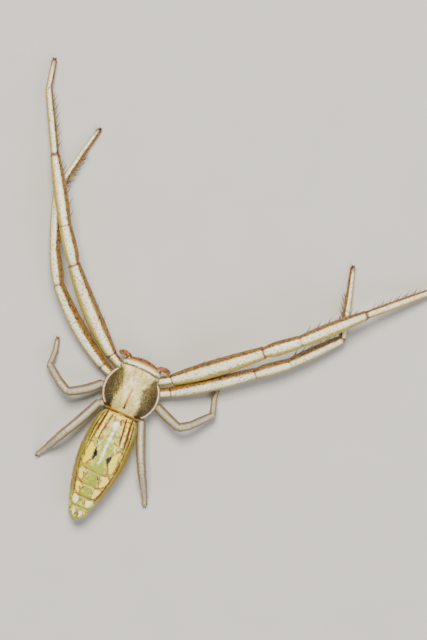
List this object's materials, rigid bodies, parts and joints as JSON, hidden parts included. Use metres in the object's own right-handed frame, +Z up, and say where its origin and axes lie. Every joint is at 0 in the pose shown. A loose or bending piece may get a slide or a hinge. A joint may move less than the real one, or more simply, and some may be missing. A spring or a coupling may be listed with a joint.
{
  "type": "crab spider",
  "caption": "Life-size long-bodied crab spider standing with its long front legs spread ahead and its short rear legs beside a tapering belly.",
  "frame": {"origin": "middle of the whole spider's bounding box, on the floor it stands on", "axes": "+Y ahead of the spider, +X its right side, +Z up"},
  "size_m": [0.0264, 0.0236, 0.003],
  "materials": {
    "shield": "satin, granular",
    "belly_skin": "satin, finely patterned",
    "front_leg_skin": "satin",
    "rear_leg_skin": "satin, slightly translucent",
    "pale_skin": "satin",
    "orange_skin": "satin",
    "dark_chitin": "glossy",
    "eye": "glossy, wet"
  },
  "bodies": {
    "root": {"abdomen": "belly_skin", "carapace": "shield", "chelicera_left": "orange_skin", "chelicera_right": "orange_skin", "eye_front_median_left": "eye", "eye_front_median_right": "eye", "eye_front_side_left": "eye", "eye_front_side_right": "eye", "eye_rear_median_left": "eye", "eye_rear_median_right": "eye", "eye_rear_side_left": "eye", "eye_rear_side_right": "eye", "fang_left": "dark_chitin", "fang_right": "dark_chitin", "leg_1_left_femur": "front_leg_skin", "leg_1_left_foot": "front_leg_skin", "leg_1_left_patella": "front_leg_skin", "leg_1_left_tibia": "front_leg_skin", "leg_1_right_femur": "front_leg_skin", "leg_1_right_foot": "front_leg_skin", "leg_1_right_patella": "front_leg_skin", "leg_1_right_tibia": "front_leg_skin", "leg_2_left_femur": "front_leg_skin", "leg_2_left_foot": "front_leg_skin", "leg_2_left_patella": "front_leg_skin", "leg_2_left_tibia": "front_leg_skin", "leg_2_right_femur": "front_leg_skin", "leg_2_right_foot": "front_leg_skin", "leg_2_right_patella": "front_leg_skin", "leg_2_right_tibia": "front_leg_skin", "leg_3_left_femur": "rear_leg_skin", "leg_3_left_foot": "rear_leg_skin", "leg_3_left_patella": "rear_leg_skin", "leg_3_left_tibia": "rear_leg_skin", "leg_3_right_femur": "rear_leg_skin", "leg_3_right_foot": "rear_leg_skin", "leg_3_right_patella": "rear_leg_skin", "leg_3_right_tibia": "rear_leg_skin", "leg_4_left_femur": "rear_leg_skin", "leg_4_left_foot": "rear_leg_skin", "leg_4_left_patella": "rear_leg_skin", "leg_4_left_tibia": "rear_leg_skin", "leg_4_right_femur": "rear_leg_skin", "leg_4_right_foot": "rear_leg_skin", "leg_4_right_patella": "rear_leg_skin", "leg_4_right_tibia": "rear_leg_skin", "mouthparts": "pale_skin", "palp_left": "orange_skin", "palp_right": "orange_skin", "pedicel": "pale_skin", "spinnerets": "pale_skin", "sternum": "pale_skin"}
  },
  "joints": []
}
